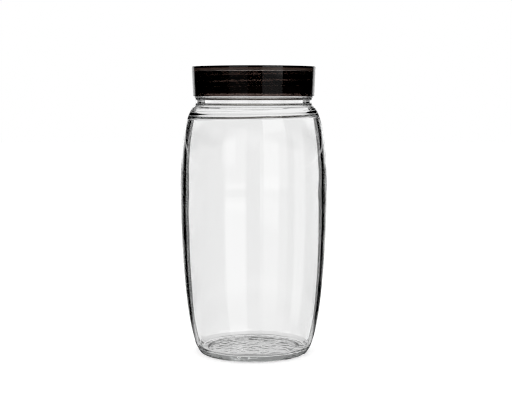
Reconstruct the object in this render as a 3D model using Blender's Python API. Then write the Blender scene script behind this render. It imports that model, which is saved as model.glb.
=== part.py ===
"""Glass storage jar with a screw lid of dark brown plastic and a sealing liner.

Lengths are in metres and +Z is up. The origin is the centre of the ring that the jar stands on,
and the jar, the lid and the liner share the Z axis. The lid is screwed home.
"""

import math

import bmesh
import bpy
from mathutils import Vector

# Facets round every turned piece, and points along its curves
SEGMENTS = 60
SIDE_STEPS = 8
ARC_STEPS = 3

# Gap that touching pieces keep between their faces
SEAT_GAP = 0.0003

# Outside of the glass body, from the foot to the root of the neck
BODY_RADIUS = 0.0612
WIDEST_HEIGHT = 0.134
FOOT_RADIUS = 0.0468
FOOT_ARC = 0.0048
FOOT_LEAN = math.radians(32)
SHOULDER_RISE = 0.0725
SHOULDER_LEAN = math.radians(54)

# How far the side keeps its direction at each end, as shares of its height
LOWER_HANDLE_SHARES = (0.33, 0.15)
UPPER_HANDLE_SHARES = (0.45, 0.15)

# Glass thickness at the neck, the shoulder, the widest ring and the heel, and the floor
NECK_WALL = 0.0036
SHOULDER_WALL = 0.003
WALL = 0.0045
LOWER_WALL = 0.0028
FLOOR_HEIGHT = 0.0055
FLOOR_CROWN = 0.0008

# How far towards each end the inside follows the outer side
INNER_SIDE_SHARE = 0.92
INNER_SHOULDER_SHARE = 0.965

# Ring that the jar stands on, and the hollow panel inside it
STANDING_WIDTH = 0.004
PANEL_EDGE_RISE = 0.0021
PANEL_EDGE_WIDTH = 0.004
PANEL_CROWN = 0.0009

# Neck of the jar, with its collar, the bead under the lid and the rim that the liner seals
NECK_RADIUS = 0.0471
NECK_FILLET = 0.0025
INNER_FILLET = 0.0016
NECK_LENGTH = 0.0263
COLLAR_DEPTH = 0.0011
BEAD_RISE = 0.0048
BEAD_DEPTH = 0.0008
BEAD_ARC = 0.0013
BEAD_FOOT_ARC = 0.0025
RIM_ARC = 0.0009

# Screw thread, the same pitch on the glass and in the lid
PITCH = 0.00508
THREAD_TOP_DROP = 0.00255
THREAD_END_ANGLE = math.radians(720)
THREAD_FADE_ANGLE = math.radians(24)
THREAD_ROOT_SINK = 0.0006
THREAD_FLANK_GAP = 0.00035
JAR_THREAD_TURNS = 1.5
JAR_THREAD_DEPTH = 0.0012
JAR_THREAD_ROOT_WIDTH = 0.0023
JAR_THREAD_CREST_WIDTH = 0.0011
LID_THREAD_TURNS = 1.75
LID_THREAD_ROOT_WIDTH = 0.002
LID_THREAD_CREST_WIDTH = 0.0009
LID_THREAD_TIP_GAP = 0.0004

# Lid, a smooth plastic shell that widens towards its flat top
LID_NECK_GAP = 0.00558
LID_THREAD_ROOM = 0.00045
LID_WALL = 0.00155
LID_FLARE = 0.00095
LID_UPPER_WALL = 0.001
LID_TOP_THICKNESS = 0.0013
LID_EDGE_ARC = 0.0005
LID_CORNER_ARC = 0.0006

# Liner disc held in the lid
LINER_THICKNESS = 0.0018
LINER_EDGE_ARC = 0.0003

# Colours, as linear red, green, blue
GLASS_COLOUR = (0.93, 0.95, 0.94)
PLASTIC_COLOUR = (0.035, 0.016, 0.010)
LINER_COLOUR = (0.78, 0.76, 0.71)


def arc(centre, radius, start, end, steps=ARC_STEPS):
    """Points of an arc in the turning plane, from angle start to angle end."""
    points = []
    for step in range(steps + 1):
        angle = start + (end - start) * step / steps
        points.append(centre + radius * Vector((math.cos(angle), math.sin(angle))))
    return points


def side_end_below():
    """Where the outer side meets the rounding of the foot."""
    return Vector((FOOT_RADIUS, FOOT_ARC * (1 - math.sin(FOOT_LEAN))))


def collar_radius():
    """Radius of the thicker foot of the neck."""
    return NECK_RADIUS + COLLAR_DEPTH


def bore_radius():
    """Radius of the neck's inside."""
    return NECK_RADIUS - NECK_WALL


def side_end_above():
    """Where the outer side meets the hollow fillet of the neck."""
    radius = collar_radius() + NECK_FILLET * (1 - math.cos(SHOULDER_LEAN))
    return Vector((radius, WIDEST_HEIGHT + SHOULDER_RISE))


def side(end, lean, handle_shares, share=1.0):
    """Points and outward normals of a barrel side, from its widest ring towards end."""
    widest = Vector((BODY_RADIUS, WIDEST_HEIGHT))
    length = abs(end.y - widest.y)
    upright = Vector((0, math.copysign(1, end.y - widest.y)))
    leaning = Vector((-math.sin(lean), math.cos(lean) * upright.y))
    handle = widest + upright * length * handle_shares[0]
    end_handle = end - leaning * length * handle_shares[1]
    samples = []
    for step in range(SIDE_STEPS + 1):
        t = share * step / SIDE_STEPS
        s = 1 - t
        point = (
            widest * s**3 + handle * 3 * s**2 * t + end_handle * 3 * s * t**2 + end * t**3
        )
        direction = (
            (handle - widest) * s**2 + (end_handle - handle) * 2 * s * t + (end - end_handle) * t**2
        ).normalized()
        normal = Vector((abs(direction.y), -direction.x * upright.y))
        samples.append((point, normal))
    return samples


def offset(samples, depth, end_depth):
    """The samples' points, moved inwards along their normals by depth, which turns to end_depth."""
    last = len(samples) - 1
    return [
        point - normal * (depth + (end_depth - depth) * index / last)
        for index, (point, normal) in enumerate(samples)
    ]


def joined(*runs):
    """One outline from several runs of points, without the doubled ends."""
    outline = []
    for run in runs:
        for point in run:
            if not outline or (point - outline[-1]).length > SEAT_GAP / SEGMENTS:
                outline.append(point)
    return outline


def turned(outline):
    """A bmesh of the outline turned round the Z axis. Its ends lie on the axis."""
    bm = bmesh.new()
    verts = [bm.verts.new((point.x, 0, point.y)) for point in outline]
    edges = [bm.edges.new(pair) for pair in zip(verts, verts[1:])]
    bmesh.ops.spin(
        bm,
        geom=verts + edges,
        cent=(0, 0, 0),
        axis=(0, 0, 1),
        angle=math.tau,
        steps=SEGMENTS,
        use_merge=True,
    )
    bmesh.ops.remove_doubles(bm, verts=bm.verts, dist=SEAT_GAP / SEGMENTS)
    bmesh.ops.recalc_face_normals(bm, faces=bm.faces)
    return bm


def ridge(root_radius, crest_radius, root_width, crest_width, end_height, turns):
    """A bmesh of a right-hand thread ridge that fades into its wall at both ends."""
    outwards = math.copysign(1, crest_radius - root_radius)
    sunk_root = root_radius - outwards * THREAD_ROOT_SINK
    sunk_crest = root_radius - outwards * THREAD_ROOT_SINK / 2
    steps = round(turns * SEGMENTS)
    step_angle = turns * math.tau / steps
    bm = bmesh.new()
    rings = []
    for step in range(steps + 1):
        angle = THREAD_END_ANGLE - (steps - step) * step_angle
        height = end_height - PITCH * (THREAD_END_ANGLE - angle) / math.tau
        to_end = min(step, steps - step) * step_angle
        fade = math.sin(min(1, to_end / THREAD_FADE_ANGLE) * math.pi / 2)
        crest = sunk_crest + (crest_radius - sunk_crest) * fade
        section = (
            (sunk_root, -root_width / 2),
            (crest, -crest_width / 2),
            (crest, crest_width / 2),
            (sunk_root, root_width / 2),
        )
        rings.append(
            [
                bm.verts.new((r * math.cos(angle), r * math.sin(angle), height + rise))
                for r, rise in section
            ]
        )
    for ring, following in zip(rings, rings[1:]):
        for a, b in zip(range(4), (1, 2, 3, 0)):
            bm.faces.new((ring[a], ring[b], following[b], following[a]))
    bm.faces.new(rings[0])
    bm.faces.new(rings[-1])
    bmesh.ops.triangulate(bm, faces=bm.faces)
    bmesh.ops.recalc_face_normals(bm, faces=bm.faces)
    return bm


def material(name, colour, roughness, transmission=0.0):
    """A Principled material of one colour."""
    made = bpy.data.materials.new(name)
    made.use_nodes = True
    shader = made.node_tree.nodes["Principled BSDF"]
    shader.inputs["Base Color"].default_value = (*colour, 1)
    shader.inputs["Roughness"].default_value = roughness
    shader.inputs["Transmission Weight"].default_value = transmission
    shader.inputs["Metallic"].default_value = 0
    made.diffuse_color = (*colour, 1)
    return made


def piece(name, bm, coat, height=0.0, parent=None):
    """An object from a bmesh, at a height above its parent on the Z axis."""
    mesh = bpy.data.meshes.new(name)
    bm.to_mesh(mesh)
    bm.free()
    mesh.shade_smooth()
    mesh.set_sharp_from_angle(angle=math.radians(35))
    mesh.materials.append(coat)
    made = bpy.data.objects.new(name, mesh)
    made.location.z = height
    made.parent = parent
    bpy.context.collection.objects.link(made)
    return made


def unite(body, added):
    """Fuses a hidden shape into body, as moulded in one with it."""
    added.hide_render = True
    added.display_type = "WIRE"
    modifier = body.modifiers.new(added.name, "BOOLEAN")
    modifier.operation = "UNION"
    modifier.solver = "EXACT"
    modifier.object = added


def neck_root():
    """Height where the neck's fillet ends and its upright wall starts."""
    return side_end_above().y + NECK_FILLET * math.sin(SHOULDER_LEAN)


def rim_height():
    """Height of the top of the glass."""
    return neck_root() + NECK_LENGTH


def foot_outline():
    """Underside of the jar, from the axis out and up to the lower side."""
    centre = Vector((FOOT_RADIUS - FOOT_ARC * math.cos(FOOT_LEAN), FOOT_ARC))
    ring_inside = centre.x - STANDING_WIDTH
    panel_edge = Vector((ring_inside - PANEL_EDGE_WIDTH, PANEL_EDGE_RISE))
    underside = [
        Vector((0, PANEL_EDGE_RISE + PANEL_CROWN)),
        Vector((panel_edge.x / 2, PANEL_EDGE_RISE + PANEL_CROWN * 0.75)),
        panel_edge,
        Vector((ring_inside, 0)),
    ]
    return underside + arc(centre, FOOT_ARC, -math.pi / 2, -FOOT_LEAN)


def bead_outline():
    """The bead under the lid, from the collar below it to the thread's wall above it."""
    crest = Vector((collar_radius() + BEAD_DEPTH - BEAD_ARC, neck_root() + BEAD_RISE))
    reach = BEAD_ARC + BEAD_FOOT_ARC
    lower_lean = math.acos(1 - BEAD_DEPTH / reach)
    upper_lean = math.acos(1 - (BEAD_DEPTH + COLLAR_DEPTH) / reach)
    below = crest + reach * Vector((math.cos(lower_lean), -math.sin(lower_lean)))
    above = crest + reach * Vector((math.cos(upper_lean), math.sin(upper_lean)))
    return (
        arc(below, BEAD_FOOT_ARC, math.pi, math.pi - lower_lean, 2)
        + arc(crest, BEAD_ARC, -lower_lean, upper_lean, ARC_STEPS + 1)
        + arc(above, BEAD_FOOT_ARC, math.pi + upper_lean, math.pi)
    )


def rim_outline():
    """The rounded top of the neck, from outside to inside."""
    low = rim_height() - RIM_ARC
    outer = Vector((NECK_RADIUS - RIM_ARC, low))
    inner = Vector((bore_radius() + RIM_ARC, low))
    return arc(outer, RIM_ARC, 0, math.pi / 2) + arc(inner, RIM_ARC, math.pi / 2, math.pi)


def inner_neck_fillet(last, lean):
    """Rounding between the bore and the inside of the shoulder, which runs on straight from last."""
    tangent_radius = bore_radius() + INNER_FILLET * (1 - math.cos(lean))
    rise = (last.x - tangent_radius) / math.tan(lean)
    height = last.y + rise + INNER_FILLET * math.sin(lean)
    centre = Vector((bore_radius() + INNER_FILLET, height))
    return arc(centre, INNER_FILLET, math.pi, math.pi + lean)


def inner_heel_outline(last, normal):
    """The hollow rounding between the inner side and the floor, and the floor itself."""
    drop = last.y - FLOOR_HEIGHT
    lean = math.asin(-normal.y)
    radius = drop / (1 - math.sin(lean))
    centre = last - normal * radius
    heel = arc(centre, radius, -lean, -math.pi / 2, ARC_STEPS + 1)
    return heel + [Vector((0, FLOOR_HEIGHT + FLOOR_CROWN))]


def jar_outline():
    """The whole section of the glass, from the axis under the foot to the axis on the floor."""
    lower = side(side_end_below(), FOOT_LEAN, LOWER_HANDLE_SHARES)
    upper = side(side_end_above(), SHOULDER_LEAN, UPPER_HANDLE_SHARES)
    inner_lower = side(side_end_below(), FOOT_LEAN, LOWER_HANDLE_SHARES, INNER_SIDE_SHARE)
    inner_upper = side(side_end_above(), SHOULDER_LEAN, UPPER_HANDLE_SHARES, INNER_SHOULDER_SHARE)
    heel_points = offset(inner_lower, WALL, LOWER_WALL)
    shoulder_points = offset(inner_upper, WALL, SHOULDER_WALL)
    fillet_centre = Vector((collar_radius() + NECK_FILLET, neck_root()))
    return joined(
        foot_outline(),
        offset(lower, 0, 0)[::-1],
        offset(upper, 0, 0),
        arc(fillet_centre, NECK_FILLET, math.pi + SHOULDER_LEAN, math.pi),
        bead_outline(),
        rim_outline(),
        inner_neck_fillet(shoulder_points[-1], math.asin(inner_upper[-1][1].y)),
        shoulder_points[::-1],
        heel_points,
        inner_heel_outline(heel_points[-1], inner_lower[-1][1]),
    )


def flank_reach(radius):
    """Half the width of the glass ridge plus half that of the lid's ridge, at a radius."""
    jar_share = (radius - NECK_RADIUS) / JAR_THREAD_DEPTH
    lid_share = (lid_bore() - radius) / (lid_bore() - lid_thread_tip())
    jar_width = JAR_THREAD_ROOT_WIDTH + (JAR_THREAD_CREST_WIDTH - JAR_THREAD_ROOT_WIDTH) * jar_share
    lid_width = LID_THREAD_ROOT_WIDTH + (LID_THREAD_CREST_WIDTH - LID_THREAD_ROOT_WIDTH) * lid_share
    return (jar_width + lid_width) / 2


def lid_bore():
    """Inner radius of the lid's skirt, outside the crest of the glass thread."""
    return NECK_RADIUS + JAR_THREAD_DEPTH + LID_THREAD_ROOM


def lid_thread_tip():
    """Radius of the crest of the lid's own thread."""
    return NECK_RADIUS + LID_THREAD_TIP_GAP


def lid_bottom():
    """Height of the lid's lower edge."""
    return neck_root() + LID_NECK_GAP


def lid_height():
    """Height of the lid from its lower edge to its top."""
    liner_room = LINER_THICKNESS + 2 * SEAT_GAP
    return rim_height() + liner_room + LID_TOP_THICKNESS - lid_bottom()


def liner_recess():
    """Radius of the recess that holds the liner, and its depth under the lid's top plate."""
    radius = lid_bore() + LID_WALL + LID_FLARE - LID_UPPER_WALL
    return radius, LINER_THICKNESS + 2 * SEAT_GAP


def lid_outline():
    """Section of the lid, from the axis under its top plate to the axis on its top."""
    height = lid_height()
    plate = height - LID_TOP_THICKNESS
    recess_radius, recess_depth = liner_recess()
    step = plate - recess_depth
    bottom_radius = lid_bore() + LID_WALL
    top_radius = bottom_radius + LID_FLARE
    recess_corner = Vector((recess_radius - LID_CORNER_ARC, plate - LID_CORNER_ARC))
    top_corner = Vector((top_radius - LID_EDGE_ARC, height - LID_EDGE_ARC))
    return joined(
        [Vector((0, plate))],
        arc(recess_corner, LID_CORNER_ARC, math.pi / 2, 0, 2),
        [
            Vector((recess_radius, step)),
            Vector((lid_bore(), step)),
            Vector((lid_bore(), LID_EDGE_ARC)),
            Vector((lid_bore() + LID_EDGE_ARC, 0)),
            Vector((bottom_radius - LID_EDGE_ARC / 2, 0)),
            Vector((bottom_radius, LID_EDGE_ARC / 2)),
        ],
        arc(top_corner, LID_EDGE_ARC, 0, math.pi / 2, 3),
        [Vector((0, height))],
    )


def liner_outline():
    """Section of the liner disc, from the axis below to the axis above."""
    radius = liner_recess()[0] - SEAT_GAP
    low_corner = Vector((radius - LINER_EDGE_ARC, LINER_EDGE_ARC))
    high_corner = Vector((radius - LINER_EDGE_ARC, LINER_THICKNESS - LINER_EDGE_ARC))
    return joined(
        [Vector((0, 0))],
        arc(low_corner, LINER_EDGE_ARC, -math.pi / 2, 0, 2),
        arc(high_corner, LINER_EDGE_ARC, 0, math.pi / 2, 2),
        [Vector((0, LINER_THICKNESS))],
    )


def build_jar(coat):
    """The glass jar with its moulded thread."""
    jar = piece("glass_jar", turned(jar_outline()), coat)
    thread = ridge(
        NECK_RADIUS,
        NECK_RADIUS + JAR_THREAD_DEPTH,
        JAR_THREAD_ROOT_WIDTH,
        JAR_THREAD_CREST_WIDTH,
        -THREAD_TOP_DROP,
        JAR_THREAD_TURNS,
    )
    unite(jar, piece("jar_thread", thread, coat, rim_height(), jar))


def build_lid(coat, axis):
    """The lid with its own thread, which pulls from below on the glass thread."""
    lid = piece("screw_lid", turned(lid_outline()), coat, lid_bottom() - axis.location.z, axis)
    reach = max(flank_reach(lid_thread_tip()), flank_reach(NECK_RADIUS + JAR_THREAD_DEPTH))
    thread = ridge(
        lid_bore(),
        lid_thread_tip(),
        LID_THREAD_ROOT_WIDTH,
        LID_THREAD_CREST_WIDTH,
        -THREAD_TOP_DROP - reach - THREAD_FLANK_GAP,
        LID_THREAD_TURNS,
    )
    rim_above_lid = rim_height() - lid_bottom()
    unite(lid, piece("lid_thread", thread, coat, rim_above_lid, lid))


def build_liner(coat, axis):
    """The liner disc, seated on the rim and held in the lid's recess."""
    piece("lid_liner", turned(liner_outline()), coat, SEAT_GAP, axis)


def main():
    """Clears the scene's objects and builds the closed jar."""
    for old in list(bpy.data.objects):
        bpy.data.objects.remove(old)
    glass = material("clear_glass", GLASS_COLOUR, 0.02, 1.0)
    plastic = material("brown_plastic", PLASTIC_COLOUR, 0.15)
    foam = material("liner_foam", LINER_COLOUR, 0.6)
    axis = bpy.data.objects.new("closure_axis", None)
    axis.location.z = rim_height()
    bpy.context.collection.objects.link(axis)
    build_jar(glass)
    build_lid(plastic, axis)
    build_liner(foam, axis)
    bpy.context.view_layer.update()


main()
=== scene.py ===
"""Looks of the glass storage jar: clear uneven glass, a dark brown see-through lid and its liner.

Lengths are in metres and +Z is up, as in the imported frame. The jar, the lid and the liner are turned
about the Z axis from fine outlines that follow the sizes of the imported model. In an outline, x is the
distance from the axis and y is the height.
"""

import math

import bpy
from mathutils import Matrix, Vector, noise


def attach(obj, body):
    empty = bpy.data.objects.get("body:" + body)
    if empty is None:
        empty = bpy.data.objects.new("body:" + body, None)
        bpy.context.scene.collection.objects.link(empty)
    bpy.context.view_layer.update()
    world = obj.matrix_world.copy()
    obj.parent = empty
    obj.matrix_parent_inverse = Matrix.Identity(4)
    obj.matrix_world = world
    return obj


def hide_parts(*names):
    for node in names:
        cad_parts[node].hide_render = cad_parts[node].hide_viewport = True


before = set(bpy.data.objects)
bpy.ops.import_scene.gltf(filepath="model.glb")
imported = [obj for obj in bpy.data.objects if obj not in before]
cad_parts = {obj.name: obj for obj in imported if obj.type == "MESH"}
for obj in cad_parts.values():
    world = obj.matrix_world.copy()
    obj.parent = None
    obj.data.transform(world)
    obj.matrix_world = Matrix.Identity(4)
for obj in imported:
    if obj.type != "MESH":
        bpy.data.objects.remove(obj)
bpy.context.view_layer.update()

# Facets round each piece, points along its curves, and how close two points count as one
JAR_SEGMENTS = 248
LID_SEGMENTS = 360
SIDE_STEPS = 24
SHOULDER_STEPS = 46
ARC_STEPS = 10
JAR_THREAD_STEP = 0.0003
LID_THREAD_STEP = 0.00025
SAME_POINT = 0.000005

# Outside of the glass, from the foot to the root of the neck
BODY_RADIUS = 0.0612
WIDEST_HEIGHT = 0.134
FOOT_RADIUS = 0.0468
FOOT_ARC = 0.0048
FOOT_LEAN = math.radians(32)
SHOULDER_RISE = 0.0725
SHOULDER_LEAN = math.radians(54)
LOWER_HANDLE_SHARES = (0.33, 0.15)
UPPER_HANDLE_SHARES = (0.45, 0.15)

# Glass thickness, floor, standing ring and the panel inside it
NECK_WALL = 0.0036
SHOULDER_WALL = 0.003
WALL = 0.0045
LOWER_WALL = 0.0028
FLOOR_HEIGHT = 0.0055
FLOOR_CROWN = 0.0008
INNER_SIDE_SHARE = 0.92
INNER_SHOULDER_SHARE = 0.965
STANDING_WIDTH = 0.004
PANEL_EDGE_RISE = 0.0021
PANEL_EDGE_WIDTH = 0.004
PANEL_CROWN = 0.0009
PANEL_MIDDLE_SHARE = 0.5

# Neck, its collar with a bead, and the rim
NECK_RADIUS = 0.0471
NECK_FILLET = 0.0025
INNER_FILLET = 0.0016
NECK_LENGTH = 0.0263
COLLAR_DEPTH = 0.0011
BEAD_RISE = 0.0048
BEAD_DEPTH = 0.0008
BEAD_ARC = 0.0013
BEAD_FOOT_ARC = 0.0025
RIM_ARC = 0.0009

# Screw threads, with their widths at the root and at the crest
PITCH = 0.00508
THREAD_LAPS = 2
THREAD_END_ANGLE = THREAD_LAPS * math.tau
THREAD_FADE_ANGLE = math.radians(24)
JAR_THREAD_TURNS = 1.5
JAR_THREAD_DROP = 0.00255
JAR_THREAD_DEPTH = 0.0012
JAR_THREAD_WIDTHS = (0.0028, 0.0006)
LID_THREAD_TURNS = 1.75
LID_THREAD_DROP = 0.0043
LID_THREAD_WIDTHS = (0.0037, 0.0002)
LID_THREAD_TIP_GAP = 0.0004

# Lid and liner
LID_NECK_GAP = 0.00558
LID_THREAD_ROOM = 0.00045
LID_WALL = 0.00155
LID_FLARE = 0.00095
LID_UPPER_WALL = 0.0008
LID_TOP_THICKNESS = 0.0013
LID_RECESS_DROP = 0.001
LID_EDGE_ARC = 0.0005
LID_CORNER_ARC = 0.0006
SEAT_GAP = 0.0003
LINER_THICKNESS = 0.0018
LINER_EDGE_ARC = 0.0003

# Unevenness of blown glass: its depth, its wavelength and where in the noise it is taken
INNER_WAVE = (0.00005, 0.016, 3)
FLOOR_WAVE = (0.0002, 0.011, 7)
FOOT_WAVE = (0.0004, 0.0045, 5)
PEBBLES = (0.0005, 0.0038, 11)
PEBBLE_BACK_SHARE = 0.35
FOOT_WAVE_START = 0.0012
FOOT_WAVE_TOP = 0.009
RIPPLE_FADE = 0.012

# Short bars under the base. They are deepest at one side, which spreads over an angle in radians
BAR_DEPTH = 0.0003
BAR_TURN = 16
BAR_LENGTH = 0.009
BAR_FADE = 0.0012
BAR_FILL = 0.5
BAR_PEAK = math.radians(-18)
BAR_PEAK_SPREAD = 0.35
BAR_PEAK_GROWTH = 1.5

# Ridge inside the shoulder, with thinner glass above it
RIDGE_HEIGHT = 0.1986
RIDGE_SWAY = 0.0009
RIDGE_DEPTH = 0.0014
RIDGE_WIDTH = 0.0012
THINNING_DEPTH = 0.0005
THINNING_WIDTH = 0.0022
THINNING_LAG = 0.0015

# Materials. A grain is a noise's scale and detail, and its relief's distance and strength
WHITE = (1, 1, 1, 1)
GLASS_INDEX = 1.5
GLASS_TINT = (0.40, 0.44, 0.43, 1)
GLASS_DENSITY = 6
GLASS_GRAIN = (60, 1, 0.00001, 0.1)
PLASTIC_INDEX = 1.5
PLASTIC_TINT = (0.18, 0.05, 0.0, 1)
PLASTIC_DENSITY = 1800
PLASTIC_GRAIN = (90, 2, 0.00001, 0.05)
FOAM_COLOUR = (0.86, 0.84, 0.79, 1)
FOAM_ROUGHNESS = 0.6
FOAM_GRAIN = (900, 3, 0.0001, 0.4)
FLOOR_COLOUR = (0.96, 0.96, 0.96, 1)

# Background and floor, as the camera and plain surfaces meet them
BACKGROUND_LIGHT = 1.0
PLAIN_LIGHT = 1.05
FLOOR_GLOW = 0.32
FLOOR_REACH = 4.0

# White field straight behind the jar. The angles of the studio's light, here and below, are in degrees
FIELD_EDGE = 17.0
FIELD_SOFT = 0.6
FIELD_LIGHT = 1.0
BOOST_START = 4.0
BOOST_LIGHT = 0.65

# Elevations where the field is dimmer: lowest, highest and softness, and the light taken off
DIM_BANDS = (
    ((-2.7, -1.5, 0.35), 0.1),
    ((-15, -9.6, 1.0), 0.06),
)

# Slit in the dark card beside the field
SLIT_ELEVATIONS = (-0.8, -0.1)
SLIT_SOFT = 0.15
SLIT_EDGE = 90
SLIT_EDGE_SOFT = 10
SLIT_LIGHT = 0.45

# White cards behind the jar's other sides: azimuth, and lowest and highest elevation
SIDE_FIELDS = (
    (-90, (-24, 24)),
    (-45, (-42, -13)),
    (135, (-32, -8)),
)
SIDE_FIELD_EDGE = 13
SIDE_FIELD_SOFT = 2

# Light below and above the field: where each starts and is full, and how bright it is
TABLE_START = (-13.5, -17)
TABLE_LIGHT = 0.8
STEEP_START = (-38, -46)
STEEP_LIGHT = 0.35
RAISED_START = (6, 10)
RAISED_LIGHT = 0.38
RAISED_SHARE = 0.4
SKY_START = (30, 50)
SKY_LIGHT = 0.6

# Rays that passed more surfaces than this went through both walls of the jar, or of the lid too
JAR_PASSES = 3
LID_PASSES = 7
THROUGH_LID_SHARE = 0.3

# Soft boxes in front: azimuths, elevations, and the light where it is mirrored and seen through glass
SOFT_BOX_SOFT = 0.5
SOFT_BOXES = (
    ((-45, -11), (-48, -4.9), (0.9, 0.7)),
    ((-45, -11), (-4.9, -3.1), (0.05, 1.35)),
    ((-45, -11), (-3.1, 22), (0.45, 0.5)),
    ((16, 55), (-48, -4.9), (0.45, 0.4)),
    ((16, 55), (-4.9, -3.1), (0.22, 0.6)),
    ((16, 55), (-3.1, 18), (0.9, 0.6)),
    ((16, 55), (18, 38), (1.9, 1.0)),
)
MIRRORED = 0
SEEN_THROUGH = 1

# The field as gloss mirrors it, wider at the height of the lid
GLANCE_EDGE = 33.0
GLANCE_SOFT = 6.0
GLANCE_ELEVATIONS = (-2.5, 2.5)
GLANCE_ELEVATION_SOFT = 0.6
GLANCE_LIGHT = 1.1

# How often light is followed from surface to surface, and how wide a pixel gathers it
LIGHT_BOUNCES = 32
GLOSS_BOUNCES = 24
FILTER_PIXELS = 1.1

# Camera
CAMERA_DISTANCE = 0.9366
CAMERA_HEIGHT = 0.2163
CAMERA_SIDE = 0.0019
CAMERA_PITCH = math.radians(5.4)
FOCAL_PIXELS = 1125
PHOTO_WIDTH_PIXELS = 512
SENSOR_WIDTH = 36


def arc(centre, radius, start, end, steps=ARC_STEPS):
    """Points of an arc in an outline, from angle start to angle end."""
    points = []
    for step in range(steps + 1):
        angle = start + (end - start) * step / steps
        points.append(centre + radius * Vector((math.cos(angle), math.sin(angle))))
    return points


def straight(start, end, steps):
    """Points of a straight run, both ends included."""
    return [start.lerp(end, step / steps) for step in range(steps + 1)]


def smooth(share):
    """Smooth step from 0 to 1."""
    share = min(1, max(0, share))
    return share * share * (3 - 2 * share)


def ring_outside():
    """Outer radius of the flat ring that the jar stands on."""
    return FOOT_RADIUS - FOOT_ARC * math.cos(FOOT_LEAN)


def side_end_below():
    """Where the outer side meets the rounding of the foot."""
    return Vector((FOOT_RADIUS, FOOT_ARC * (1 - math.sin(FOOT_LEAN))))


def collar_radius():
    """Radius of the thicker foot of the neck."""
    return NECK_RADIUS + COLLAR_DEPTH


def side_end_above():
    """Where the outer side meets the hollow fillet of the neck."""
    radius = collar_radius() + NECK_FILLET * (1 - math.cos(SHOULDER_LEAN))
    return Vector((radius, WIDEST_HEIGHT + SHOULDER_RISE))


def neck_root():
    """Height where the neck's fillet ends and its upright wall starts."""
    return side_end_above().y + NECK_FILLET * math.sin(SHOULDER_LEAN)


def rim_height():
    """Height of the top of the glass."""
    return neck_root() + NECK_LENGTH


def bore_radius():
    """Radius of the neck's inside."""
    return NECK_RADIUS - NECK_WALL


def lid_bore():
    """Inner radius of the lid's skirt."""
    return NECK_RADIUS + JAR_THREAD_DEPTH + LID_THREAD_ROOM


def side(end, lean, handle_shares, share=1.0, steps=SIDE_STEPS):
    """Points and outward normals of a barrel side, from its widest ring towards end."""
    widest = Vector((BODY_RADIUS, WIDEST_HEIGHT))
    length = abs(end.y - widest.y)
    upright = Vector((0, math.copysign(1, end.y - widest.y)))
    leaning = Vector((-math.sin(lean), math.cos(lean) * upright.y))
    handle = widest + upright * length * handle_shares[0]
    end_handle = end - leaning * length * handle_shares[1]
    samples = []
    for step in range(steps + 1):
        t = share * step / steps
        s = 1 - t
        point = (
            widest * s**3 + handle * 3 * s**2 * t + end_handle * 3 * s * t**2 + end * t**3
        )
        direction = (
            (handle - widest) * s**2 + (end_handle - handle) * 2 * s * t + (end - end_handle) * t**2
        ).normalized()
        normal = Vector((abs(direction.y), -direction.x * upright.y))
        samples.append((point, normal))
    return samples


def offset(samples, depth, end_depth):
    """The samples' points, moved inwards along their normals by depth, which turns to end_depth."""
    last = len(samples) - 1
    return [
        point - normal * (depth + (end_depth - depth) * index / last)
        for index, (point, normal) in enumerate(samples)
    ]


def inner_neck_fillet(last, lean):
    """Rounding between the bore and the inside of the shoulder, which runs on straight from last."""
    tangent_radius = bore_radius() + INNER_FILLET * (1 - math.cos(lean))
    rise = (last.x - tangent_radius) / math.tan(lean)
    height = last.y + rise + INNER_FILLET * math.sin(lean)
    centre = Vector((bore_radius() + INNER_FILLET, height))
    return arc(centre, INNER_FILLET, math.pi, math.pi + lean)


def bead_outline():
    """The bead under the lid, from the collar below it to the thread's wall above it."""
    crest = Vector((collar_radius() + BEAD_DEPTH - BEAD_ARC, neck_root() + BEAD_RISE))
    reach = BEAD_ARC + BEAD_FOOT_ARC
    lower_lean = math.acos(1 - BEAD_DEPTH / reach)
    upper_lean = math.acos(1 - (BEAD_DEPTH + COLLAR_DEPTH) / reach)
    below = crest + reach * Vector((math.cos(lower_lean), -math.sin(lower_lean)))
    above = crest + reach * Vector((math.cos(upper_lean), math.sin(upper_lean)))
    return (
        arc(below, BEAD_FOOT_ARC, math.pi, math.pi - lower_lean)
        + arc(crest, BEAD_ARC, -lower_lean, upper_lean)
        + arc(above, BEAD_FOOT_ARC, math.pi + upper_lean, math.pi)
    )


def plain(point, angle):
    """No relief."""
    return 0


def ripple(point, angle, wave):
    """Smooth unevenness round the jar, the same on each run."""
    depth, length, seed = wave
    x = point.x * math.cos(angle) / length
    y = point.x * math.sin(angle) / length
    return depth * noise.noise(Vector((x, y, point.y / length + seed)))


def helix_relief(angle, height, end_height, turns, widths):
    """How much of a thread's full depth stands at a place: 1 on the crest, 0 off the thread."""
    start_angle = THREAD_END_ANGLE - turns * math.tau
    root, crest = (width / 2 for width in widths)
    relief = 0
    for lap in range(THREAD_LAPS):
        place = angle + lap * math.tau
        to_end = min(place - start_angle, THREAD_END_ANGLE - place)
        if to_end <= 0:
            continue
        rise = height - (end_height - PITCH * (THREAD_END_ANGLE - place) / math.tau)
        across = smooth((root - abs(rise)) / (root - crest))
        fade = math.sin(min(1, to_end / THREAD_FADE_ANGLE) * math.pi / 2)
        relief = max(relief, across * fade)
    return relief


def jar_thread_relief(point, angle):
    """The thread on the outside of the neck."""
    end_height = rim_height() - JAR_THREAD_DROP
    share = helix_relief(angle, point.y, end_height, JAR_THREAD_TURNS, JAR_THREAD_WIDTHS)
    return JAR_THREAD_DEPTH * share


def lid_thread_relief(point, angle):
    """The thread inside the lid."""
    end_height = rim_height() - LID_THREAD_DROP
    share = helix_relief(angle, point.y, end_height, LID_THREAD_TURNS, LID_THREAD_WIDTHS)
    return (lid_bore() - NECK_RADIUS - LID_THREAD_TIP_GAP) * share


def inner_relief(point, angle):
    """Unevenness of the inside wall."""
    return ripple(point, angle, INNER_WAVE)


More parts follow.
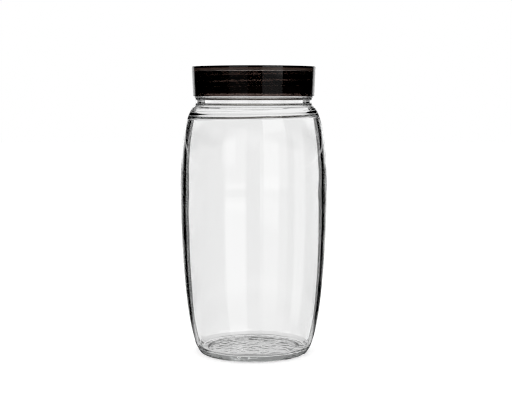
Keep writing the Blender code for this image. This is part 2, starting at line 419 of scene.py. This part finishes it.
def shoulder_relief(point, angle):
    """Unevenness of the inside wall, with the ridge below the thinner glass of the shoulder."""
    height = RIDGE_HEIGHT + RIDGE_SWAY * math.cos(angle)
    ridge = RIDGE_DEPTH * math.exp(-(((point.y - height) / RIDGE_WIDTH) ** 2))
    grown = smooth((point.y - WIDEST_HEIGHT) / (RIDGE_HEIGHT - WIDEST_HEIGHT))
    thinning_start = height + THINNING_LAG * (1 + math.cos(angle))
    left = 1 - smooth((point.y - thinning_start) / THINNING_WIDTH)
    waves = inner_relief(point, angle) * smooth((neck_root() - point.y) / RIPPLE_FADE)
    return waves + THINNING_DEPTH * grown * left + ridge


def floor_relief(point, angle):
    """Unevenness of the floor."""
    return ripple(point, angle, FLOOR_WAVE)


def foot_relief(point, angle):
    """Unevenness of the foot's rounding and the lowest part of the side."""
    share = smooth(point.y / FOOT_WAVE_START) * smooth(1 - point.y / FOOT_WAVE_TOP)
    return ripple(point, angle, FOOT_WAVE) * share


def pebble_relief(point, angle):
    """Pebbled underside, fainter towards the back."""
    front_share = (1 - math.sin(angle)) / 2
    share = PEBBLE_BACK_SHARE + (1 - PEBBLE_BACK_SHARE) * front_share
    return ripple(point, angle, PEBBLES) * share


def bar_relief(point, angle):
    """Short uneven bars across the standing ring and the edge of the panel inside it."""
    place = Vector((math.cos(angle) * BAR_TURN, math.sin(angle) * BAR_TURN, point.x / BAR_LENGTH))
    bars = max(0, BAR_FILL + noise.noise(place))
    aside = math.remainder(angle - BAR_PEAK, math.tau)
    depth = BAR_DEPTH * (1 + BAR_PEAK_GROWTH * math.exp(-((aside / BAR_PEAK_SPREAD) ** 2)))
    return -depth * bars * smooth((ring_outside() - point.x) / BAR_FADE)


def base_runs():
    """The underside of the glass, from the axis to the top of the foot's rounding."""
    foot_centre = Vector((ring_outside(), FOOT_ARC))
    ring_outer = Vector((foot_centre.x, 0))
    ring_inner = Vector((foot_centre.x - STANDING_WIDTH, 0))
    panel_edge = Vector((ring_inner.x - PANEL_EDGE_WIDTH, PANEL_EDGE_RISE))
    panel_top = Vector((0, PANEL_EDGE_RISE + PANEL_CROWN))
    middle_rise = PANEL_EDGE_RISE + PANEL_CROWN * (1 - PANEL_MIDDLE_SHARE**2)
    panel_middle = Vector((panel_edge.x * PANEL_MIDDLE_SHARE, middle_rise))
    return [
        (straight(panel_top, panel_middle, steps=18), pebble_relief),
        (straight(panel_middle, panel_edge, steps=22), pebble_relief),
        (straight(panel_edge, ring_inner, steps=6), bar_relief),
        (straight(ring_inner, ring_outer, steps=6), bar_relief),
        (arc(foot_centre, FOOT_ARC, -math.pi / 2, -FOOT_LEAN), foot_relief),
    ]


def outside_runs():
    """The outside of the glass, from the foot to the top of the rim."""
    lower = side(side_end_below(), FOOT_LEAN, LOWER_HANDLE_SHARES)
    upper = side(side_end_above(), SHOULDER_LEAN, UPPER_HANDLE_SHARES)
    fillet_centre = Vector((collar_radius() + NECK_FILLET, neck_root()))
    collar_foot = Vector((collar_radius(), neck_root()))
    bead = bead_outline()
    rim_low = rim_height() - RIM_ARC
    rim_centre = Vector((NECK_RADIUS - RIM_ARC, rim_low))
    wall_top = Vector((NECK_RADIUS, rim_low))
    thread_steps = round((rim_low - bead[-1].y) / JAR_THREAD_STEP)
    return [
        ([point for point, normal in reversed(lower)], foot_relief),
        ([point for point, normal in upper], plain),
        (arc(fillet_centre, NECK_FILLET, math.pi + SHOULDER_LEAN, math.pi), plain),
        (straight(collar_foot, bead[0], steps=8), plain),
        (bead, plain),
        (straight(bead[-1], wall_top, thread_steps), jar_thread_relief),
        (arc(rim_centre, RIM_ARC, 0, math.pi / 2, steps=6), plain),
    ]


def inside_runs():
    """The inside of the glass, from the top of the rim to the axis on the floor."""
    rim_low = rim_height() - RIM_ARC
    rim_centre = Vector((bore_radius() + RIM_ARC, rim_low))
    bore_top = Vector((bore_radius(), rim_low))
    upper = side(
        side_end_above(), SHOULDER_LEAN, UPPER_HANDLE_SHARES, INNER_SHOULDER_SHARE, SHOULDER_STEPS
    )
    shoulder = offset(upper, WALL, SHOULDER_WALL)
    corner = inner_neck_fillet(shoulder[-1], math.asin(upper[-1][1].y))
    lower = side(side_end_below(), FOOT_LEAN, LOWER_HANDLE_SHARES, INNER_SIDE_SHARE)
    wall = offset(lower, WALL, LOWER_WALL)
    normal = lower[-1][1]
    heel_lean = math.asin(-normal.y)
    heel_radius = (wall[-1].y - FLOOR_HEIGHT) / (1 - math.sin(heel_lean))
    heel_centre = wall[-1] - normal * heel_radius
    heel_end = Vector((heel_centre.x, FLOOR_HEIGHT))
    floor_middle = Vector((0, FLOOR_HEIGHT + FLOOR_CROWN))
    return [
        (arc(rim_centre, RIM_ARC, math.pi / 2, math.pi, steps=6), plain),
        (straight(bore_top, corner[0], steps=20), plain),
        (corner, plain),
        (straight(corner[-1], shoulder[-1], steps=8), plain),
        (shoulder[::-1], shoulder_relief),
        (wall, inner_relief),
        (arc(heel_centre, heel_radius, -heel_lean, -math.pi / 2, steps=18), floor_relief),
        (straight(heel_end, floor_middle, steps=22), floor_relief),
    ]


def jar_runs():
    """The whole section of the glass, as runs of points with the relief of each run."""
    return base_runs() + outside_runs() + inside_runs()


def lid_runs():
    """The section of the lid, from the axis under its top plate to the axis on its top."""
    bore = lid_bore()
    foot_radius = bore + LID_WALL
    top_radius = foot_radius + LID_FLARE
    recess = top_radius - LID_UPPER_WALL
    foot_height = neck_root() + LID_NECK_GAP
    ledge_height = rim_height() - LID_RECESS_DROP
    plate = rim_height() + LINER_THICKNESS + 2 * SEAT_GAP
    top = plate + LID_TOP_THICKNESS
    recess_centre = Vector((recess - LID_CORNER_ARC, plate - LID_CORNER_ARC))
    inner_centre = Vector((bore + LID_EDGE_ARC, foot_height + LID_EDGE_ARC))
    outer_centre = Vector((foot_radius - LID_EDGE_ARC, foot_height + LID_EDGE_ARC))
    top_centre = Vector((top_radius - LID_EDGE_ARC, top - LID_EDGE_ARC))
    recess_corner = arc(recess_centre, LID_CORNER_ARC, math.pi / 2, 0, steps=5)
    inner_edge = arc(inner_centre, LID_EDGE_ARC, math.pi, 1.5 * math.pi, steps=4)
    outer_edge = arc(outer_centre, LID_EDGE_ARC, -math.pi / 2, 0, steps=5)
    top_edge = arc(top_centre, LID_EDGE_ARC, 0, math.pi / 2, steps=6)
    ledge_outer = Vector((recess, ledge_height))
    ledge_inner = Vector((bore, ledge_height))
    thread_steps = round((ledge_height - foot_height) / LID_THREAD_STEP)
    return [
        (straight(Vector((0, plate)), recess_corner[0], steps=12), plain),
        (recess_corner, plain),
        (straight(recess_corner[-1], ledge_outer, steps=4), plain),
        (straight(ledge_outer, ledge_inner, steps=3), plain),
        (straight(ledge_inner, inner_edge[0], thread_steps), lid_thread_relief),
        (inner_edge, plain),
        (outer_edge, plain),
        (straight(outer_edge[-1], top_edge[0], steps=24), plain),
        (top_edge, plain),
        (straight(top_edge[-1], Vector((0, top)), steps=12), plain),
    ]


def liner_runs():
    """The section of the liner disc, from the axis below to the axis above."""
    radius = lid_bore() + LID_WALL + LID_FLARE - LID_UPPER_WALL - SEAT_GAP
    low = rim_height() + SEAT_GAP
    high = low + LINER_THICKNESS
    low_centre = Vector((radius - LINER_EDGE_ARC, low + LINER_EDGE_ARC))
    high_centre = Vector((radius - LINER_EDGE_ARC, high - LINER_EDGE_ARC))
    low_edge = arc(low_centre, LINER_EDGE_ARC, -math.pi / 2, 0, steps=4)
    high_edge = arc(high_centre, LINER_EDGE_ARC, 0, math.pi / 2, steps=4)
    return [
        (straight(Vector((0, low)), low_edge[0], steps=10), plain),
        (low_edge, plain),
        (high_edge, plain),
        (straight(high_edge[-1], Vector((0, high)), steps=10), plain),
    ]


def stations_of(runs):
    """The runs' points in one list, each with its run's relief, and no point twice in a row."""
    stations = []
    for points, relief in runs:
        for point in points:
            if not stations or (point - stations[-1][0]).length > SAME_POINT:
                stations.append((point, relief))
    return stations


def ring_faces(rings, segments):
    """Faces between rings of vertex numbers, where a ring of one is a point on the axis."""
    faces = []
    for ring, following in zip(rings, rings[1:]):
        for segment in range(segments):
            after = (segment + 1) % segments
            if len(ring) == 1:
                faces.append((ring[0], following[after], following[segment]))
            elif len(following) == 1:
                faces.append((ring[segment], ring[after], following[0]))
            else:
                faces.append((ring[segment], ring[after], following[after], following[segment]))
    return faces


def added(name, data):
    """A new object in the scene."""
    made = bpy.data.objects.new(name, data)
    bpy.context.scene.collection.objects.link(made)
    return made


def turned(name, runs, segments, coat):
    """A closed mesh turned about the Z axis, each point moved out by its run's relief."""
    stations = stations_of(runs)
    verts = []
    rings = []
    for index, (point, relief) in enumerate(stations):
        if index in (0, len(stations) - 1):
            rings.append([len(verts)])
            verts.append((0, 0, point.y))
            continue
        along = (stations[index + 1][0] - stations[index - 1][0]).normalized()
        normal = Vector((along.y, -along.x))
        ring = []
        for segment in range(segments):
            angle = math.tau * segment / segments
            place = point + normal * relief(point, angle)
            ring.append(len(verts))
            verts.append((place.x * math.cos(angle), place.x * math.sin(angle), place.y))
        rings.append(ring)
    mesh = bpy.data.meshes.new(name)
    mesh.from_pydata(verts, [], ring_faces(rings, segments))
    mesh.validate()
    mesh.shade_smooth()
    mesh.materials.append(coat)
    return added(name, mesh)


def feed(tree, socket, value):
    """Gives a socket a number, or links it to the output of another node."""
    if isinstance(value, bpy.types.NodeSocket):
        tree.links.new(value, socket)
    else:
        socket.default_value = value


def math_node(tree, operation, *values):
    """The output of a Math node on sockets or numbers."""
    node = tree.nodes.new("ShaderNodeMath")
    node.operation = operation
    for socket, value in zip(node.inputs, values):
        feed(tree, socket, value)
    return node.outputs[0]


def plus(tree, first, second):
    """The sum of two sockets or numbers."""
    return math_node(tree, "ADD", first, second)


def times(tree, first, second):
    """The product of two sockets or numbers."""
    return math_node(tree, "MULTIPLY", first, second)


def larger(tree, first, second):
    """The larger of two sockets or numbers."""
    return math_node(tree, "MAXIMUM", first, second)


def wrapped(tree, angle):
    """An angle brought between -180 and 180 degrees."""
    return math_node(tree, "WRAP", angle, 180, -180)


def ramp(tree, value, start, end):
    """A smooth step from 0 where value is start to 1 where it is end."""
    node = tree.nodes.new("ShaderNodeMapRange")
    node.interpolation_type = "SMOOTHSTEP"
    tree.links.new(value, node.inputs["Value"])
    node.inputs["From Min"].default_value = start
    node.inputs["From Max"].default_value = end
    return node.outputs["Result"]


def within(tree, value, edge, soft):
    """1 below edge, 0 above it, with a soft change."""
    return ramp(tree, value, edge + soft, edge - soft)


def band(tree, value, low, high, soft):
    """1 between low and high, 0 outside, with soft edges."""
    up = ramp(tree, value, low - soft, low + soft)
    return times(tree, up, within(tree, value, high, soft))


def blended(tree, share, low, high):
    """low where share is 0, high where it is 1."""
    node = tree.nodes.new("ShaderNodeMix")
    node.data_type = "FLOAT"
    # Input 0 is the share, 1 is for vectors only, and 2 and 3 are the numbers that are mixed
    for index, value in ((0, share), (2, low), (3, high)):
        feed(tree, node.inputs[index], value)
    return node.outputs[0]


def aside_from(tree, azimuth, centre):
    """How far a direction lies to either side of centre."""
    return math_node(tree, "ABSOLUTE", wrapped(tree, plus(tree, azimuth, -centre)))


def soft_boxes(tree, azimuth, elevation, use):
    """Light of the soft boxes in front of the jar, as they are mirrored or as seen through glass."""
    facing = times(tree, wrapped(tree, plus(tree, azimuth, 180)), -1)
    level = 0
    for azimuths, elevations, lights in SOFT_BOXES:
        across = band(tree, facing, *azimuths, SOFT_BOX_SOFT)
        upright = band(tree, elevation, *elevations, SOFT_BOX_SOFT)
        box = times(tree, times(tree, across, upright), lights[use])
        level = plus(tree, level, box)
    return level


def bright_field(tree, aside, elevation):
    """White background straight behind, brighter towards its two edges."""
    rise = larger(tree, plus(tree, aside, -BOOST_START), 0)
    share = math_node(tree, "DIVIDE", rise, FIELD_EDGE - BOOST_START)
    light = plus(tree, times(tree, math_node(tree, "POWER", share, 2), BOOST_LIGHT), FIELD_LIGHT)
    for edges, taken in DIM_BANDS:
        light = plus(tree, light, times(tree, band(tree, elevation, *edges), -taken))
    return times(tree, within(tree, aside, FIELD_EDGE, FIELD_SOFT), light)


def with_slit(tree, level, aside, elevation):
    """The level, with the light of the slit in the dark card."""
    slit = times(tree, within(tree, aside, SLIT_EDGE, SLIT_EDGE_SOFT), SLIT_LIGHT)
    share = band(tree, elevation, *SLIT_ELEVATIONS, SLIT_SOFT)
    return blended(tree, share, level, larger(tree, level, slit))


def with_side_fields(tree, level, azimuth, elevation, through_jar):
    """The level, with the white cards that only rays through both walls meet."""
    for centre, elevations in SIDE_FIELDS:
        across = within(tree, aside_from(tree, azimuth, centre), SIDE_FIELD_EDGE, SIDE_FIELD_SOFT)
        field = times(tree, across, band(tree, elevation, *elevations, SIDE_FIELD_SOFT))
        level = larger(tree, level, times(tree, field, through_jar))
    return level


def lit_field(tree, azimuth, elevation, passes):
    """What is seen through the glass: white straight behind, dark card beside it, a table below.

    passes is how many surfaces the ray has gone through.
    """
    aside = aside_from(tree, azimuth, 0)
    through_jar = math_node(tree, "GREATER_THAN", passes, JAR_PASSES)
    through_lid = math_node(tree, "GREATER_THAN", passes, LID_PASSES)
    level = bright_field(tree, aside, elevation)
    level = with_slit(tree, level, aside, elevation)
    level = with_side_fields(tree, level, azimuth, elevation, through_jar)
    raised = times(tree, times(tree, level, through_jar), RAISED_SHARE)
    raised = larger(tree, raised, RAISED_LIGHT)
    level = blended(tree, ramp(tree, elevation, *RAISED_START), level, raised)
    table = blended(tree, ramp(tree, elevation, *STEEP_START), TABLE_LIGHT, STEEP_LIGHT)
    level = blended(tree, ramp(tree, elevation, *TABLE_START), level, table)
    level = times(tree, level, blended(tree, through_lid, 1, THROUGH_LID_SHARE))
    sky = blended(tree, through_jar, RAISED_LIGHT, SKY_LIGHT)
    return blended(tree, ramp(tree, elevation, *SKY_START), level, sky)


def glance_field(tree, azimuth, elevation):
    """The lit background as gloss mirrors it, wider at the height of the lid."""
    aside = aside_from(tree, azimuth, 0)
    narrow = within(tree, aside, FIELD_EDGE, FIELD_SOFT)
    wide = within(tree, aside, GLANCE_EDGE, GLANCE_SOFT)
    share = band(tree, elevation, *GLANCE_ELEVATIONS, GLANCE_ELEVATION_SOFT)
    return times(tree, blended(tree, share, narrow, wide), GLANCE_LIGHT)


def make_world():
    """Even white light, with a lit field behind the glass and soft boxes in its gloss."""
    world = bpy.data.worlds.new("studio")
    bpy.context.scene.world = world
    world.use_nodes = True
    tree = world.node_tree
    background = tree.nodes["Background"]
    place = tree.nodes.new("ShaderNodeTexCoord")
    split = tree.nodes.new("ShaderNodeSeparateXYZ")
    tree.links.new(place.outputs["Generated"], split.inputs[0])
    x, y, z = split.outputs
    azimuth = math_node(tree, "DEGREES", math_node(tree, "ARCTAN2", x, y))
    elevation = math_node(tree, "DEGREES", math_node(tree, "ARCSINE", z))
    path = tree.nodes.new("ShaderNodeLightPath")
    field = lit_field(tree, azimuth, elevation, path.outputs["Transmission Depth"])
    through = larger(tree, soft_boxes(tree, azimuth, elevation, SEEN_THROUGH), field)
    glance = glance_field(tree, azimuth, elevation)
    mirrored = plus(tree, soft_boxes(tree, azimuth, elevation, MIRRORED), glance)
    bounced = math_node(tree, "GREATER_THAN", path.outputs["Diffuse Depth"], 0)
    level = blended(tree, path.outputs["Is Glossy Ray"], PLAIN_LIGHT, mirrored)
    level = blended(tree, path.outputs["Is Transmission Ray"], level, through)
    level = blended(tree, bounced, level, PLAIN_LIGHT)
    level = blended(tree, path.outputs["Is Camera Ray"], level, BACKGROUND_LIGHT)
    tree.links.new(level, background.inputs["Strength"])
    background.inputs["Color"].default_value = WHITE


def new_material(name, values):
    """A material with its node tree and its Principled shader, whose sockets have the values."""
    made = bpy.data.materials.new(name)
    made.use_nodes = True
    tree = made.node_tree
    shader = tree.nodes["Principled BSDF"]
    for socket, value in values.items():
        shader.inputs[socket].default_value = value
    return made, tree, shader


def add_grain(tree, shader, grain):
    """Fine relief from a noise over the object."""
    scale, detail, distance, strength = grain
    place = tree.nodes.new("ShaderNodeTexCoord")
    texture = tree.nodes.new("ShaderNodeTexNoise")
    texture.inputs["Scale"].default_value = scale
    texture.inputs["Detail"].default_value = detail
    tree.links.new(place.outputs["Object"], texture.inputs["Vector"])
    relief = tree.nodes.new("ShaderNodeBump")
    relief.inputs["Distance"].default_value = distance
    relief.inputs["Strength"].default_value = strength
    tree.links.new(texture.outputs["Fac"], relief.inputs["Height"])
    tree.links.new(relief.outputs["Normal"], shader.inputs["Normal"])


def see_through_material(name, index, tint, density, grain):
    """A smooth clear material, whose tint deepens with its thickness."""
    values = {"Base Color": WHITE, "Roughness": 0, "IOR": index, "Transmission Weight": 1}
    made, tree, shader = new_material(name, values)
    add_grain(tree, shader, grain)
    absorption = tree.nodes.new("ShaderNodeVolumeAbsorption")
    absorption.inputs["Color"].default_value = tint
    absorption.inputs["Density"].default_value = density
    tree.links.new(absorption.outputs["Volume"], tree.nodes["Material Output"].inputs["Volume"])
    return made


def glass_material():
    """Clear soda glass."""
    return see_through_material("clear_glass", GLASS_INDEX, GLASS_TINT, GLASS_DENSITY, GLASS_GRAIN)


def lid_material():
    """Dark brown see-through plastic with a high gloss."""
    return see_through_material(
        "brown_plastic", PLASTIC_INDEX, PLASTIC_TINT, PLASTIC_DENSITY, PLASTIC_GRAIN
    )


def liner_material():
    """Off-white closed-cell foam."""
    values = {"Base Color": FOAM_COLOUR, "Roughness": FOAM_ROUGHNESS}
    made, tree, shader = new_material("liner_foam", values)
    add_grain(tree, shader, FOAM_GRAIN)
    return made


def floor_material():
    """Matt white that glows a little for the camera, so that it is as white as the background."""
    values = {
        "Base Color": FLOOR_COLOUR,
        "Roughness": 1,
        "Specular IOR Level": 0,
        "Emission Color": WHITE,
    }
    made, tree, shader = new_material("floor_white", values)
    path = tree.nodes.new("ShaderNodeLightPath")
    glow = times(tree, path.outputs["Is Camera Ray"], FLOOR_GLOW)
    tree.links.new(glow, shader.inputs["Emission Strength"])
    return made


def make_floor():
    """White floor. What is seen through or in the glass passes it and meets the studio behind."""
    low, high = -FLOOR_REACH, FLOOR_REACH
    corners = ((low, low, 0), (high, low, 0), (high, high, 0), (low, high, 0))
    mesh = bpy.data.meshes.new("floor")
    mesh.from_pydata(corners, [], [(0, 1, 2, 3)])
    mesh.materials.append(floor_material())
    floor = added("floor", mesh)
    floor.visible_transmission = False
    floor.visible_glossy = False


def make_camera():
    """The photograph's view, slightly from above."""
    data = bpy.data.cameras.new("camera")
    data.sensor_width = SENSOR_WIDTH
    data.lens = FOCAL_PIXELS / PHOTO_WIDTH_PIXELS * SENSOR_WIDTH
    camera = added("camera", data)
    camera.location = (CAMERA_SIDE, -CAMERA_DISTANCE, CAMERA_HEIGHT)
    camera.rotation_euler = (math.pi / 2 - CAMERA_PITCH, 0, 0)
    bpy.context.scene.camera = camera


def set_up_view():
    """Standard view and enough bounces for light to get through glass and lid."""
    scene = bpy.context.scene
    scene.view_settings.view_transform = "Standard"
    scene.cycles.filter_width = FILTER_PIXELS
    scene.cycles.max_bounces = LIGHT_BOUNCES
    scene.cycles.transmission_bounces = LIGHT_BOUNCES
    scene.cycles.glossy_bounces = GLOSS_BOUNCES


def main():
    """Builds the studio and the three pieces."""
    set_up_view()
    make_camera()
    make_world()
    make_floor()
    jar = turned("clear_glass_jar", jar_runs(), JAR_SEGMENTS, glass_material())
    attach(jar, "jar")
    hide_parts("glass_jar")
    lid = turned("brown_screw_lid", lid_runs(), LID_SEGMENTS, lid_material())
    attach(lid, "lid")
    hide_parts("screw_lid")
    liner = turned("foam_liner", liner_runs(), LID_SEGMENTS, liner_material())
    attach(liner, "liner")
    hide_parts("lid_liner")


main()
